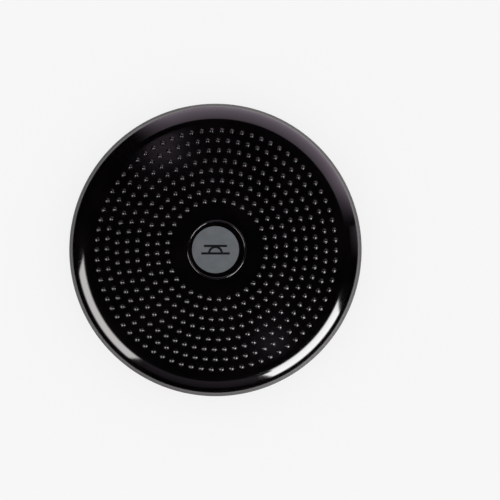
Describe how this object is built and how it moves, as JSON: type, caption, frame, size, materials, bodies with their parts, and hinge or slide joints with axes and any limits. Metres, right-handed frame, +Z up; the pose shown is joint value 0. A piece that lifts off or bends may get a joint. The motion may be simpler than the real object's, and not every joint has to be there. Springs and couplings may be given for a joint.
{
  "type": "wobble cushion",
  "caption": "Round inflatable balance cushion: a low domed disc with rings of small nubs on top, a welded rim, grip studs and a needle valve underneath.",
  "frame": {"origin": "on the floor, at the middle of the disc's underside, where the foot pad rests", "axes": "+Z up through the middle of the disc; -Y towards the valve; +X to the right seen from above with the valve nearest"},
  "size_m": [0.33, 0.33, 0.0612],
  "materials": {
    "skin": "gloss",
    "seam": "satin",
    "badge": "satin",
    "emblem": "satin",
    "valve": "matte"
  },
  "bodies": {
    "base": {"lower_skin": "skin", "valve_seat": "seam", "valve_core": "valve"},
    "waist": {"rim_seam": "seam"},
    "top": {"upper_skin": "skin", "centre_badge": "badge", "badge_emblem": "emblem"}
  },
  "joints": [
    {"name": "rock_fore_aft", "type": "hinge", "parent": "base", "child": "waist", "pos_m": [0, 0, 0.0292], "axis": [1, 0, 0], "range_deg": [-6, 6], "stiffness_Nm_per_rad": 60, "deforming": ["lower_skin"]},
    {"name": "rock_side_to_side", "type": "hinge", "parent": "waist", "child": "top", "pos_m": [0, 0, 0.0292], "axis": [0, 1, 0], "range_deg": [-6, 6], "stiffness_Nm_per_rad": 60, "deforming": ["upper_skin"]}
  ]
}
